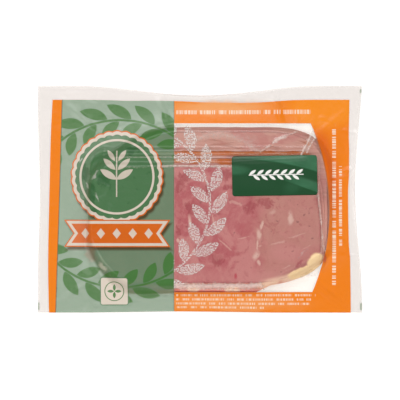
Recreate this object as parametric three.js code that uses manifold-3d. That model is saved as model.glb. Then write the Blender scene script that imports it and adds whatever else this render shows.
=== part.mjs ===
// A vacuum pack of sliced mutton bacon, lying flat with its printed side up.
//
// Two webs of film are welded together all round a shingled stack of thin slices. The film has
// shrunk on to the stack, so it follows every slice's edge, flares out to a flat welded border,
// and draws that border in along its upper and right-hand sides. A stuck-on product label lies
// over the slices.
//
// Millimetres, +Z up, +X along the pack's long side, +Y towards the upper edge of its print. The
// origin is under the middle of the pack, on the surface that it lies on.

import * as THREE from "three";
import { mergeVertices } from "three/addons/utils/BufferGeometryUtils.js";
import Module from "manifold-3d";

// ---- driving dimensions -------------------------------------------------------------------

// The pouch: its cut size, and the border's thickness, which stands for two welded webs.
const PACK_WIDTH = 225;
const PACK_HEIGHT = 157.3;
const BORDER_THICK = 0.5;
const UNDER_FILM = 0.1; // the lower web, beneath the slices

// The stack: seven slices. Four reach up to the print's upper band, and three lie lower on them.
// A corner takes off a stretch across and a stretch down; its power is 2 for an ellipse, more for
// a squarer corner, and 1 for a straight cut.
const SLICE_THICK = 1.65;
const LOWER_CORNERS = {
  upperRight: { across: 48, down: 38, power: 2.85 },
  lowerRight: { across: 55, down: 28, power: 1.05 },
  upperLeft: { across: 60, down: 42, power: 1.6 },
  lowerLeft: { across: 31, down: 36, power: 1.5 },
};
const UPPER_CORNERS = {
  upperRight: { across: 14, down: 50, power: 2 },
  lowerRight: { across: 45, down: 20, power: 1.75 },
  upperLeft: { across: 12, down: 10, power: 2 },
  lowerLeft: { across: 30, down: 34, power: 1.5 },
};
const SLICES = [
  { left: -78.4, right: 91.0, lower: -66.2, upper: 50.6, corners: LOWER_CORNERS },
  { left: -77.6, right: 90.3, lower: -65.4, upper: 49.9, corners: LOWER_CORNERS },
  { left: -76.6, right: 89.4, lower: -64.0, upper: 48.8, corners: LOWER_CORNERS },
  { left: -75.4, right: 88.4, lower: -61.9, upper: 47.0, corners: LOWER_CORNERS },
  { left: -77.0, right: 86.6, lower: -60.6, upper: 33.6, corners: UPPER_CORNERS },
  { left: -75.9, right: 85.1, lower: -59.4, upper: 28.6, corners: UPPER_CORNERS },
  { left: -74.6, right: 83.6, lower: -58.2, upper: 23.2, corners: UPPER_CORNERS },
];
const WALL_REACH = 3.6; // how far out from a slice's edge the film comes down beside it

// The welded border: how high it leaves the stack, where it lies flat, and how its edges curl.
const SEAM_RISE = 2.0;
const SEAM_FADE = 9;
const LIE_HEIGHT = 0.15;
const UPPER_CURL = { rise: 3.6, centre: 0, half: 84, depth: 16 };
const RIGHT_CURL = { rise: 2.6, centre: 8, half: 66, depth: 15 };
const RIPPLE = { rise: 0.8, length: 47, depth: 20 };

// Pleats where spare film gathers beside the stack: each runs from the stack towards a cut edge.
const PLEATS = [
  { from: [80, 44], to: [102, 62], rise: 0.5, half: 4.5 },
  { from: [57, 52], to: [50, 75], rise: 1.1, half: 3.4 },
  { from: [-22, 53], to: [-29, 74], rise: 0.8, half: 3.6 },
  { from: [-64, 42], to: [-96, 68], rise: 1.0, half: 3.8 },
  { from: [-69, -52], to: [-100, -73], rise: 0.9, half: 3.8 },
  { from: [72, -54], to: [99, -74], rise: 1.1, half: 3.8 },
  { from: [91, -27], to: [109, -35], rise: 0.8, half: 3.4 },
  { from: [92, 16], to: [108, 22], rise: 0.8, half: 3.4 },
];

// How far shrinking has drawn the cut edges in at their middles, and how fast that dies away.
const UPPER_DRAW = { pull: 6.9, centre: 0, half: 84, depth: 26, power: 2.6 };
const RIGHT_DRAW = { pull: 5.0, centre: 8, half: 82, depth: 22, power: 3 };
const LEFT_DRAW = { pull: 1.3, centre: 6, half: 62, depth: 22, power: 2 };
const LOWER_DRAW = { pull: 0.8, centre: -12, half: 74, depth: 18, power: 2 };

// The product label: a stiffer sticker that follows the film under it.
const LABEL_WIDTH = 58.8;
const LABEL_HEIGHT = 27.6;
const LABEL_CORNER = 1.8;
const LABEL_TURN = THREE.MathUtils.degToRad(1);
const LABEL_AT = new THREE.Vector2(51.5, 16.3);
const LABEL_THICK = 0.3;
const LABEL_GAP = 0.1;

// Grid lines of the pouch: [mm, line number]. They are closest where the film turns.
const COLUMN_STOPS = [[-112.5, 0], [-84, 8], [-70, 14], [-44, 20], [44, 27], [76, 36], [95, 44], [112.5, 50]];
const ROW_STOPS = [
  [-78.65, 0], [-70.5, 3], [-57, 9], [-24, 16], [17, 20], [37, 28], [45, 30], [56, 36], [78.65, 43],
];

// ---- the film's form ----------------------------------------------------------------------

const clamp01 = (t) => THREE.MathUtils.clamp(t, 0, 1);

// 1 at the middle of a stretch and 0 at its ends, as a raised cosine.
const bell = (t, { centre, half }) => 0.5 + 0.5 * Math.cos(Math.PI * Math.min(1, Math.abs(t - centre) / half));

// Distance from a slice's outline, negative inside. Within a corner's stretch it is the corner
// curve's own measure, divided by how fast that grows, which near the outline is the distance.
function outsideSlice(x, y, slice) {
  const fromMiddleX = x - (slice.left + slice.right) / 2;
  const fromMiddleY = y - (slice.lower + slice.upper) / 2;
  const side = `${fromMiddleY > 0 ? "upper" : "lower"}${fromMiddleX > 0 ? "Right" : "Left"}`;
  const { across, down, power } = slice.corners[side];
  const pastX = Math.abs(fromMiddleX) - (slice.right - slice.left) / 2;
  const pastY = Math.abs(fromMiddleY) - (slice.upper - slice.lower) / 2;
  if (pastX <= -across || pastY <= -down) return Math.max(pastX, pastY);
  const shareX = (pastX + across) / across;
  const shareY = (pastY + down) / down;
  const reach = (shareX ** power + shareY ** power) ** (1 / power);
  const growth = Math.hypot(shareX ** (power - 1) / across, shareY ** (power - 1) / down) * reach ** (1 - power);
  return (reach - 1) / growth;
}

// The film beside a slice: 1 at the slice's edge, rounded over it, then flaring out to 0.
function wall(outside, reach) {
  const t = clamp01(outside / reach);
  return (1 - t) ** 3 * (1 + 3 * t);
}

// Height of the film's top, as all the slices under it make it, without the border.
const stackHeight = (x, y) => SLICES.reduce(
  (sum, slice) => sum + SLICE_THICK * wall(outsideSlice(x, y, slice), WALL_REACH), 0);

// A pleat's ridge: highest along its own line, and fading sideways and towards its two ends.
function pleatHeight(x, y, { from, to, rise, half }) {
  const runX = to[0] - from[0];
  const runY = to[1] - from[1];
  const run = Math.hypot(runX, runY);
  const along = ((x - from[0]) * runX + (y - from[1]) * runY) / run ** 2;
  const across = ((x - from[0]) * runY - (y - from[1]) * runX) / run;
  return rise * bell(along, { centre: 0.5, half: 0.75 }) * bell(across, { centre: 0, half });
}

// Height of the welded border's underside: it leaves the stack a little up, comes down to lie
// flat, and curls, ripples and pleats up again towards its cut edges.
function borderHeight(u, v, x, y) {
  const fromUpper = PACK_HEIGHT / 2 - v;
  const fromLower = PACK_HEIGHT / 2 + v;
  const fromRight = PACK_WIDTH / 2 - u;
  const fromLeft = PACK_WIDTH / 2 + u;
  const outside = Math.max(outsideSlice(x, y, SLICES[0]), 0);
  const edge = (distance, depth) => clamp01(1 - distance / depth) ** 2;
  const wave = (t, phase) => 0.5 + 0.5 * Math.sin((2 * Math.PI * t) / RIPPLE.length + phase);
  return LIE_HEIGHT
    + SEAM_RISE * Math.exp(-((outside / SEAM_FADE) ** 2))
    + UPPER_CURL.rise * bell(u, UPPER_CURL) * edge(fromUpper, UPPER_CURL.depth)
    + RIGHT_CURL.rise * bell(v, RIGHT_CURL) * edge(fromRight, RIGHT_CURL.depth)
    + RIPPLE.rise * wave(u, 0.6) * edge(fromLower, RIPPLE.depth)
    + RIPPLE.rise * wave(v, 2.1) * edge(fromLeft, RIPPLE.depth)
    + RIPPLE.rise * wave(u, 3.9) * edge(fromUpper, RIPPLE.depth)
    + PLEATS.reduce((sum, pleat) => sum + pleatHeight(x, y, pleat), 0);
}

// How far a cut edge has been drawn in at a distance from it.
const drawn = (t, distance, draw) => draw.pull * bell(t, draw) * clamp01(1 - distance / draw.depth) ** draw.power;

// Where a point (u, v) of the flat film comes to lie, with the heights of the pack's two faces.
function filmPoint(u, v) {
  const x = u - drawn(v, PACK_WIDTH / 2 - u, RIGHT_DRAW) + drawn(v, PACK_WIDTH / 2 + u, LEFT_DRAW);
  const y = v - drawn(u, PACK_HEIGHT / 2 - v, UPPER_DRAW) + drawn(u, PACK_HEIGHT / 2 + v, LOWER_DRAW);
  const beside = wall(outsideSlice(x, y, SLICES[0]), WALL_REACH);
  const under = (1 - beside) * borderHeight(u, v, x, y);
  const thick = (1 - beside) * BORDER_THICK + beside * UNDER_FILM + stackHeight(x, y);
  return { x, y, under, top: under + thick };
}

// ---- solids -------------------------------------------------------------------------------

const wasm = await Module();
wasm.setup();

function solidFrom(geometry) {
  geometry.deleteAttribute("normal");
  geometry.deleteAttribute("uv");
  const merged = mergeVertices(geometry);
  return new wasm.Manifold(new wasm.Mesh({
    numProp: 3,
    vertProperties: merged.attributes.position.array,
    triVerts: new Uint32Array(merged.index.array),
  }));
}

function geometryFrom(solid) {
  const { vertProperties, triVerts } = solid.getMesh();
  const geometry = new THREE.BufferGeometry();
  geometry.setAttribute("position", new THREE.BufferAttribute(vertProperties, 3));
  geometry.setIndex(new THREE.BufferAttribute(triVerts, 1));
  geometry.computeVertexNormals();
  return geometry;
}

// The millimetre position of a grid line between the stops.
function lineAt(stops, line) {
  const next = Math.max(1, stops.findIndex(([, number]) => number >= line));
  const [fromMm, fromLine] = stops[next - 1];
  const [toMm, toLine] = stops[next];
  return THREE.MathUtils.mapLinear(line, fromLine, toLine, fromMm, toMm);
}

// Each grid cell comes as two triangles, a-b-d and b-c-d. Where a and c are nearer in height, the
// cell is split between them instead, so that the film's folds run smoothly across the grid.
function splitAlongFolds(geometry) {
  const places = geometry.attributes.position;
  const index = geometry.index;
  for (let first = 0; first < index.count; first += 6) {
    const [a, b, d, , c] = [0, 1, 2, 3, 4].map((step) => index.getX(first + step));
    const [highA, highB, highC, highD] = [a, b, c, d].map((corner) => places.getZ(corner));
    if (Math.abs(highA - highC) < Math.abs(highB - highD)) {
      [a, b, c, a, c, d].forEach((corner, step) => index.setX(first + step, corner));
    }
  }
}

// The sealed pouch with its slices: a box of grid cells whose two faces take the film's form.
function pouchGeometry() {
  const columns = COLUMN_STOPS.at(-1)[1];
  const rows = ROW_STOPS.at(-1)[1];
  const geometry = new THREE.BoxGeometry(columns, rows, 1, columns, rows, 1);
  const places = geometry.attributes.position;
  for (let i = 0; i < places.count; i++) {
    const u = lineAt(COLUMN_STOPS, Math.round(places.getX(i) + columns / 2));
    const v = lineAt(ROW_STOPS, Math.round(places.getY(i) + rows / 2));
    const { x, y, under, top } = filmPoint(u, v);
    places.setXYZ(i, x, y, places.getZ(i) > 0 ? top : under);
  }
  splitAlongFolds(geometry);
  return geometry;
}

// The label: what a rounded rectangle takes out of the layer just above the pouch.
function labelSolid(pouch) {
  const w = LABEL_WIDTH / 2;
  const h = LABEL_HEIGHT / 2;
  const r = LABEL_CORNER;
  const outline = new THREE.Shape();
  outline.moveTo(-w + r, -h);
  outline.lineTo(w - r, -h);
  outline.absarc(w - r, -h + r, r, -Math.PI / 2, 0);
  outline.lineTo(w, h - r);
  outline.absarc(w - r, h - r, r, 0, Math.PI / 2);
  outline.lineTo(-w + r, h);
  outline.absarc(-w + r, h - r, r, Math.PI / 2, Math.PI);
  outline.lineTo(-w, -h + r);
  outline.absarc(-w + r, -h + r, r, Math.PI, 1.5 * Math.PI);
  const overStack = 2 * SLICES.length * SLICE_THICK;
  const column = new THREE.ExtrudeGeometry(outline, { depth: overStack, bevelEnabled: false, curveSegments: 4 });
  column.rotateZ(LABEL_TURN);
  column.translate(LABEL_AT.x, LABEL_AT.y, 0);
  const lower = pouch.translate([0, 0, LABEL_GAP]);
  const upper = pouch.translate([0, 0, LABEL_GAP + LABEL_THICK]);
  return solidFrom(column).intersect(upper).subtract(lower);
}

// ---- the object ---------------------------------------------------------------------------

const printedFilm = new THREE.MeshStandardMaterial({ color: 0xe58a3c, roughness: 0.25, metalness: 0 });
const labelPaper = new THREE.MeshStandardMaterial({ color: 0x1f5a35, roughness: 0.3, metalness: 0 });

const pouchSolid = solidFrom(pouchGeometry());

const pouch = new THREE.Mesh(geometryFrom(pouchSolid), printedFilm);
pouch.name = "pouch";

const productLabel = new THREE.Mesh(geometryFrom(labelSolid(pouchSolid)), labelPaper);
productLabel.name = "product_label";

const pack = new THREE.Group();
pack.name = "mutton_bacon_pack";
pack.add(pouch, productLabel);

export default pack;
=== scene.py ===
"""A vacuum pack of sliced mutton bacon: seven shingled slices between a clear lower web of film and a
printed upper one, welded together all round, with a product label stuck on over the slices."""

import math

import bmesh
import bpy
import numpy as np
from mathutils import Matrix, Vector, noise


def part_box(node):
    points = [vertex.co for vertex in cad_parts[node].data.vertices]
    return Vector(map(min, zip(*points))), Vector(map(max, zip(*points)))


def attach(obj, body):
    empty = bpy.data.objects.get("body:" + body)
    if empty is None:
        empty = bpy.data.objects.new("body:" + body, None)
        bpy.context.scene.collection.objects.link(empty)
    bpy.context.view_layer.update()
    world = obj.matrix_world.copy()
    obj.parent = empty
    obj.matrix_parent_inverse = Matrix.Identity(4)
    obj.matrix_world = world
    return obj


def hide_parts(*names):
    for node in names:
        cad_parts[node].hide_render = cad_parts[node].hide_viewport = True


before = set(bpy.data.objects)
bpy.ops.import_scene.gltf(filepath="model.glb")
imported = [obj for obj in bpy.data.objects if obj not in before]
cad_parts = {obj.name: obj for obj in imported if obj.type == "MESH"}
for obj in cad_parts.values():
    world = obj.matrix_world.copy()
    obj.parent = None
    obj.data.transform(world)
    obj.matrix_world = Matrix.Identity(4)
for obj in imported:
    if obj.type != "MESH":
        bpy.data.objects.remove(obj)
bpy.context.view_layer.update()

# ---- The studio -----------------------------------------------------------------------------
# A pale lit table top under three soft boxes and a bright room. The camera looks straight down from
# far enough above for the pack's outline to be almost flat on.

MM = 0.001
PHOTO_PIXELS = 400
MM_PER_PIXEL = 0.6944
PACK_MIDDLE_PIXEL = (200, 199.25)
CAMERA_HEIGHT = 1.6

camera_data = bpy.data.cameras.new("overhead_camera")
camera_data.sensor_width = 36
camera_data.lens = camera_data.sensor_width * CAMERA_HEIGHT / (PHOTO_PIXELS * MM_PER_PIXEL * MM)
camera = bpy.data.objects.new("overhead_camera", camera_data)
camera.location = (
    (PHOTO_PIXELS / 2 - PACK_MIDDLE_PIXEL[0]) * MM_PER_PIXEL * MM,
    (PACK_MIDDLE_PIXEL[1] - PHOTO_PIXELS / 2) * MM_PER_PIXEL * MM,
    CAMERA_HEIGHT,
)
bpy.context.scene.collection.objects.link(camera)
bpy.context.scene.camera = camera
bpy.context.scene.view_settings.view_transform = "Standard"

ROOM_LIGHT = 0.31
SOFT_BOXES = {
    "upper_box": {"at": (-0.2, 0.8, 1.3), "size": 0.8, "watts": 10.5},
    "left_box": {"at": (-0.85, -0.55, 1.05), "size": 0.7, "watts": 6.6},
    "right_box": {"at": (0.9, -0.5, 1.05), "size": 0.7, "watts": 6.6},
}

room = bpy.data.worlds.new("bright_room")
room.use_nodes = True
room.node_tree.nodes["Background"].inputs["Color"].default_value = (1.0, 0.995, 0.985, 1)
room.node_tree.nodes["Background"].inputs["Strength"].default_value = ROOM_LIGHT
bpy.context.scene.world = room

for name, box in SOFT_BOXES.items():
    lamp_data = bpy.data.lights.new(name, "AREA")
    lamp_data.shape = "SQUARE"
    lamp_data.size = box["size"]
    lamp_data.energy = box["watts"]
    lamp = bpy.data.objects.new(name, lamp_data)
    lamp.location = box["at"]
    lamp.rotation_euler = (-Vector(box["at"])).to_track_quat("-Z", "Y").to_euler()
    bpy.context.scene.collection.objects.link(lamp)

TABLE_HALF = 1.5
TABLE_DROP = 0.15 * MM

table_mesh = bmesh.new()
bmesh.ops.create_grid(table_mesh, x_segments=2, y_segments=2, size=TABLE_HALF)
bmesh.ops.translate(table_mesh, verts=table_mesh.verts, vec=(0, 0, -TABLE_DROP))
table_data = bpy.data.meshes.new("table_top")
table_mesh.to_mesh(table_data)
table_mesh.free()
table = bpy.data.objects.new("table_top", table_data)
bpy.context.scene.collection.objects.link(table)


def new_material(name):
    """A material with nodes, its node tree and its shader."""
    material = bpy.data.materials.new(name)
    material.use_nodes = True
    return material, material.node_tree, material.node_tree.nodes["Principled BSDF"]


table_white, _, table_paint = new_material("table_white")
table_paint.inputs["Base Color"].default_value = (0.60, 0.60, 0.60, 1)
table_paint.inputs["Roughness"].default_value = 0.9
table_paint.inputs["Emission Color"].default_value = (1.0, 0.955, 0.90, 1)
table_paint.inputs["Emission Strength"].default_value = 0.56
table.data.materials.append(table_white)

# ---- The slices of bacon --------------------------------------------------------------------
# Seven thin cuts of cured mutton, each laid a little lower than the one under it, so that their
# upper rims show as steps. They are soft, and the upper three sag where the lower four end.

SLICE_PITCH = 1.65
SLICE_THICK = 1.6
SLICE_INSET = 0.45
OUTLINE_WAVER = 0.5
SURFACE_RELIEF = 0.07
RIM_ROUND = 0.5
FIRST_BED = 0.08
WALL_REACH = 3.6
OUTLINE_HALVINGS = 22
FINE_GRID, PLAIN_GRID = (110, 76), (72, 50)
LOWER_CORNERS = {
    # across, down, power
    (1, 1): (48, 38, 2.85),
    (1, -1): (55, 28, 1.05),
    (-1, 1): (60, 42, 1.6),
    (-1, -1): (31, 36, 1.5),
}
UPPER_CORNERS = {
    (1, 1): (14, 50, 2),
    (1, -1): (45, 20, 1.75),
    (-1, 1): (12, 10, 2),
    (-1, -1): (30, 34, 1.5),
}
SLICES = [
    # left, right, lower and upper edges
    {"edges": (-78.4, 91.0, -66.2, 50.6), "corners": LOWER_CORNERS},
    {"edges": (-77.6, 90.3, -65.4, 49.9), "corners": LOWER_CORNERS},
    {"edges": (-76.6, 89.4, -64.0, 48.8), "corners": LOWER_CORNERS},
    {"edges": (-75.4, 88.4, -61.9, 47.0), "corners": LOWER_CORNERS},
    {"edges": (-77.0, 86.6, -60.6, 33.6), "corners": UPPER_CORNERS},
    {"edges": (-75.9, 85.1, -59.4, 28.6), "corners": UPPER_CORNERS},
    {"edges": (-74.6, 83.6, -58.2, 23.2), "corners": UPPER_CORNERS},
]


def outside_slice(x, y, cut):
    """Distance in mm from a slice's outline, negative inside, for arrays of places."""
    left, right, lower, upper = cut["edges"]
    from_middle_x = x - (left + right) / 2
    from_middle_y = y - (lower + upper) / 2
    past_x = np.abs(from_middle_x) - (right - left) / 2
    past_y = np.abs(from_middle_y) - (upper - lower) / 2
    outside = np.maximum(past_x, past_y)
    for (side_x, side_y), (across, down, power) in cut["corners"].items():
        here = (from_middle_x * side_x > 0) & (from_middle_y * side_y > 0)
        here &= (past_x > -across) & (past_y > -down)
        share_x = np.where(here, (past_x + across) / across, 1)
        share_y = np.where(here, (past_y + down) / down, 1)
        reach = (share_x**power + share_y**power) ** (1 / power)
        growth = np.hypot(share_x ** (power - 1) / across, share_y ** (power - 1) / down)
        outside = np.where(here, (reach - 1) / (growth * reach ** (1 - power)), outside)
    return outside


def beside_slice(outside):
    """The film beside a slice: 1 at the slice's edge, flaring out to 0."""
    t = np.clip(outside / WALL_REACH, 0, 1)
    return (1 - t) ** 3 * (1 + 3 * t)


def stack_height(x, y, cuts):
    """How high some of the slices lift what lies on them, in mm."""
    return sum((SLICE_PITCH * beside_slice(outside_slice(x, y, cut)) for cut in cuts), np.zeros_like(x))


def places_of(mesh):
    """The places of a mesh's vertices, as an array."""
    return np.array([vert.co for vert in mesh.verts])


def smooth_object(name, mesh):
    """Ends a mesh made in millimetres: in metres, shaded smooth, as an object in the scene."""
    bmesh.ops.scale(mesh, verts=mesh.verts, vec=(MM, MM, MM))
    for face in mesh.faces:
        face.smooth = True
    data = bpy.data.meshes.new(name)
    mesh.to_mesh(data)
    mesh.free()
    piece = bpy.data.objects.new(name, data)
    bpy.context.scene.collection.objects.link(piece)
    return piece


def slice_piece(number, columns, rows):
    """One slice: a grid drawn in to the outline, thickened, with its two rims rounded."""
    cut = SLICES[number]
    left, right, lower, upper = cut["edges"]
    middle = np.array(((left + right) / 2, (lower + upper) / 2))
    half = np.array(((right - left) / 2, (upper - lower) / 2))
    mesh = bmesh.new()
    bmesh.ops.create_grid(mesh, x_segments=columns, y_segments=rows, size=1)
    square = places_of(mesh)[:, :2]
    share = np.maximum(np.abs(square).max(axis=1), 1e-6)
    ray = square / share[:, None] * half
    wobble = np.array([noise.noise(Vector((*(way * 0.06), number * 7.3))) for way in ray])
    near, far = np.zeros(len(ray)), np.full(len(ray), 1.0)
    for _ in range(OUTLINE_HALVINGS):
        trial = (near + far) / 2
        place = middle + ray * trial[:, None]
        inset = SLICE_INSET + OUTLINE_WAVER * np.abs(wobble)
        inside = outside_slice(place[:, 0], place[:, 1], cut) < -inset
        near, far = np.where(inside, trial, near), np.where(inside, far, trial)
    place = middle + ray * (near * share)[:, None]
    bed = FIRST_BED + stack_height(place[:, 0], place[:, 1], SLICES[:number])
    for vert, (x, y), low in zip(mesh.verts, place, bed):
        bump = noise.fractal(Vector((x * 0.09, y * 0.09, number)), 1.0, 2.0, 3)
        vert.co = (x, y, low + SLICE_THICK - SURFACE_RELIEF + SURFACE_RELIEF * bump)
    skirt = bmesh.ops.extrude_face_region(mesh, geom=mesh.faces[:])["geom"]
    under = [vert for vert in skirt if isinstance(vert, bmesh.types.BMVert)]
    bmesh.ops.translate(mesh, verts=under, vec=(0, 0, -SLICE_THICK + 2 * SURFACE_RELIEF))
    bmesh.ops.recalc_face_normals(mesh, faces=mesh.faces)
    rims = [edge for edge in mesh.edges if edge.calc_face_angle(0) > 1.0]
    bmesh.ops.bevel(mesh, geom=rims, offset=RIM_ROUND, offset_type="OFFSET", segments=3, profile=0.5,
                    affect="EDGES", material=-1)
    rim_depth = mesh.verts.layers.float.new("rim_depth")
    depth = -outside_slice(*places_of(mesh)[:, :2].T, cut)
    for vert, inward in zip(mesh.verts, depth):
        vert[rim_depth] = inward
    piece = smooth_object(f"slice_{number + 1}", mesh)
    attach(piece, "root")
    return piece


class Field:
    """A number that varies over a surface, as a node's output. Arithmetic on it adds Math nodes."""

    def __init__(self, socket):
        self.socket = socket
        self.id_data = socket.id_data

    def __add__(self, other):
        return reckoned("ADD", self, other)

    def __sub__(self, other):
        return reckoned("SUBTRACT", self, other)

    def __rsub__(self, other):
        return reckoned("SUBTRACT", other, self)

    def __mul__(self, other):
        return reckoned("MULTIPLY", self, other)

    def __truediv__(self, number):
        return self * (1 / number)

    def __abs__(self):
        return reckoned("ABSOLUTE", self)


def put(value, socket):
    """Feeds a socket with a field, another node's output, a number or a colour."""
    if isinstance(value, Field):
        value = value.socket
    if isinstance(value, bpy.types.NodeSocket):
        socket.id_data.links.new(value, socket)
    elif socket.type == "RGBA" and len(value) == 3:
        socket.default_value = (*value, 1)
    else:
        socket.default_value = value


def added(tree, kind, inputs, **settings):
    """A new shader node with its settings made and its inputs fed, by their names or numbers."""
    step = tree.nodes.new(kind)
    for setting, value in settings.items():
        setattr(step, setting, value)
    for socket, value in inputs.items():
        put(value, step.inputs[socket])
    return step


def reckoned(operation, *values, clamp=False):
    """The field that a Math node makes from fields and numbers."""
    tree = next(value.id_data for value in values if isinstance(value, Field))
    inputs = dict(enumerate(values))
    return Field(added(tree, "ShaderNodeMath", inputs, operation=operation, use_clamp=clamp).outputs[0])


def larger(first, second):
    """The larger of two fields, and so of two masks the places that are in either."""
    return reckoned("MAXIMUM", first, second)


def blended(share, first, second):
    """A colour between two, by a share."""
    inputs = {"Factor": share, "A": first, "B": second}
    return added(share.id_data, "ShaderNodeMix", inputs, data_type="RGBA").outputs["Result"]


def ramp(value, start, end):
    """0 below start and 1 above end, with a smooth rise between."""
    inputs = {"Value": value, "From Min": start, "From Max": end}
    step = added(value.id_data, "ShaderNodeMapRange", inputs, interpolation_type="SMOOTHSTEP")
    return Field(step.outputs["Result"])


def split_up(places):
    """Places along each axis, as fields."""
    return [Field(along) for along in added(places.id_data, "ShaderNodeSeparateXYZ", {0: places}).outputs]


def moved_to(places, at, turn, size):
    """The same places measured from a point along turned axes, in units of a size for each axis."""
    inputs = {"Vector": places, "Location": (*at, 0), "Rotation": (0, 0, turn), "Scale": size}
    return added(places.id_data, "ShaderNodeMapping", inputs, vector_type="TEXTURE").outputs[0]


def mottle(places, size, detail=3.0, roughness=0.55, distortion=0.0, stretch=(1, 1, 1), turn=0.0):
    """Noise whose blobs are about size mm across, stretched along turned axes."""
    inputs = {"Vector": moved_to(places, (0, 0), turn, [size * along for along in stretch]), "Scale": 1,
              "Detail": detail, "Roughness": roughness, "Distortion": distortion}
    return Field(added(places.id_data, "ShaderNodeTexNoise", inputs).outputs["Fac"])


def blot(places, at, half, turn=0.0):
    """1 in the middle of a soft oval mark, falling to 0 at its half sizes."""
    inputs = {"Vector": moved_to(places, at, turn, (*half, 1000))}
    step = added(places.id_data, "ShaderNodeTexGradient", inputs, gradient_type="SPHERICAL")
    return Field(step.outputs["Fac"])


def in_millimetres(tree):
    """The object's own coordinates, in millimetres."""
    metres = added(tree, "ShaderNodeTexCoord", {}).outputs["Object"]
    return added(tree, "ShaderNodeVectorMath", {0: metres, "Scale": 1 / MM}, operation="SCALE").outputs[0]


def vertex_field(tree, name):
    """A number that the mesh keeps at its vertices."""
    return Field(added(tree, "ShaderNodeAttribute", {}, attribute_name=name).outputs["Fac"])


def wavered(places, amount, size):
    """Places pushed about by up to half an amount of mm, so that marks lose their straight edges."""
    tree = places.id_data
    waves = added(tree, "ShaderNodeTexNoise", {"Vector": places, "Scale": 1 / size, "Detail": 3})
    inputs = {0: waves.outputs["Color"], 1: (amount, amount, 0), 2: (-amount / 2, -amount / 2, 0)}
    push = added(tree, "ShaderNodeVectorMath", inputs, operation="MULTIPLY_ADD").outputs[0]
    return added(tree, "ShaderNodeVectorMath", {0: places, 1: push}, operation="ADD").outputs[0]


def dented(height, depth):
    """A bump node's normal for a height in mm."""
    inputs = {"Distance": MM, "Strength": depth, "Height": height}
    return added(height.id_data, "ShaderNodeBump", inputs).outputs["Normal"]


# Colours as light shares of red, green and blue.
ROSE_LEAN = (0.430, 0.092, 0.106)
PALE_LEAN = (0.545, 0.215, 0.203)
DARK_LEAN = (0.320, 0.040, 0.052)
TAN_LEAN = (0.475, 0.210, 0.172)
SPECK_LEAN = (0.200, 0.060, 0.055)
BACON_FAT = (0.66, 0.42, 0.36)
CREAM_FAT = (0.99, 0.73, 0.41)
RIM_CREAM = (0.97, 0.66, 0.49)

DARK_MARKS = [
    # at, half sizes, turn
    ((34.7, -5.4), (9, 6.0), 0.3),
    ((-5.2, -7.1), (6.0, 8.5), 0.4),
    ((-13.9, 8.5), (5.0, 9.5), -0.3),
    ((-10, 15.5), (6.5, 6), 0.0),
    ((18, 17), (7.5, 6.5), 0.2),
    ((21, 8.5), (8, 3.2), 0.1),
    ((45, -2), (11, 5.5), -0.15),
    ((6, 6), (4, 7), 0.2),
    ((-15, -22), (3, 6), 0.2),
    ((12, -42), (7, 6), 0.3),
    ((68.5, -44.0), (6, 2.0), 0.75),
]
FAT_STREAKS = [
    ((42.7, -17.8), (1.3, 5.8), -0.30),
    ((40.4, -24.6), (2.5, 5.6), -0.12),
    ((39.4, -31.5), (1.1, 6.5), 0.04),
    ((38.7, -39.0), (3.3, 5.0), -0.30),
    ((40.8, -43.8), (1.5, 3.2), 0.1),
    ((62.3, -13.4), (2.8, 7.6), -0.06),
    ((-6.9, -15.6), (1.6, 6.5), 0.1),
    ((-15, -28.6), (2.2, 3.4), 0.4),
]
FINE_VEINS = [
    ((54, -30.4), (9.0, 1.1), 0.2),
    ((66.7, -25.2), (9.5, 0.7), 0.27),
    ((17, -31.4), (9.0, 0.9), -0.67),
    ((30, -26.2), (6.0, 0.7), 0.25),
    ((41.5, -32.8), (3.0, 0.9), 0.1),
    ((25.3, -2.6), (8.0, 2.6), -0.2),
    ((50, -9.0), (4.5, 2.4), 0.6),
    ((74, -33), (5.0, 0.7), 0.6),
    ((9.5, -15), (1.0, 7.0), 0.15),
    ((60, -46.5), (5.0, 0.7), 0.5),
]
SPECKS = [
    # at, half size
    ((23.4, -23), 1.0), ((53, -15.5), 1.1), ((67.7, -15.6), 1.5), ((71.5, -11), 1.2), ((77.6, -27), 1.2),
    ((27.5, 5), 1.4), ((0.5, -2.0), 1.3), ((-9, -19), 1.0), ((13, -10), 1.0), ((49, -22), 0.8),
    ((64, -36), 1.0), ((35, -47), 0.9), ((56, -50), 0.9),
]
RED_SPOT = ((24.6, -53.0), (1.5, 3.0))
SPOT_RED = (0.45, 0.02, 0.05)
LEAN_FIELDS = [
    # at, half sizes, colour, strength
    ((27, -10), (21, 16), ROSE_LEAN, 0.62),
    ((60, -37), (17, 9), PALE_LEAN, 0.7),
]

FAT_WEDGE = [((81.0, -44.0), (11.0, 10.5), 0.3), ((71.0, -50.6), (17.0, 6.0), 0.34)]
AROUND_WEDGE = ((78.5, -43.5), (19.0, 16.5), 0.4)
LOW_RIM = ((64, -52), (26, 14), 0.35)


def marked(marks):
    """The strongest of several soft oval marks."""
    strongest = None
    for at, half, turn in marks:
        mark = blot(wavy, at, half, turn)
        strongest = mark if strongest is None else larger(strongest, mark)
    return strongest


def fat_corner(places):
    """The rounded wedge of cream fat at the lower right-hand corner."""
    uneven = wavered(places, 3.0, 5.0)
    return ramp(larger(*[blot(uneven, *part) for part in FAT_WEDGE]), 0.28, 0.46)


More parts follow.
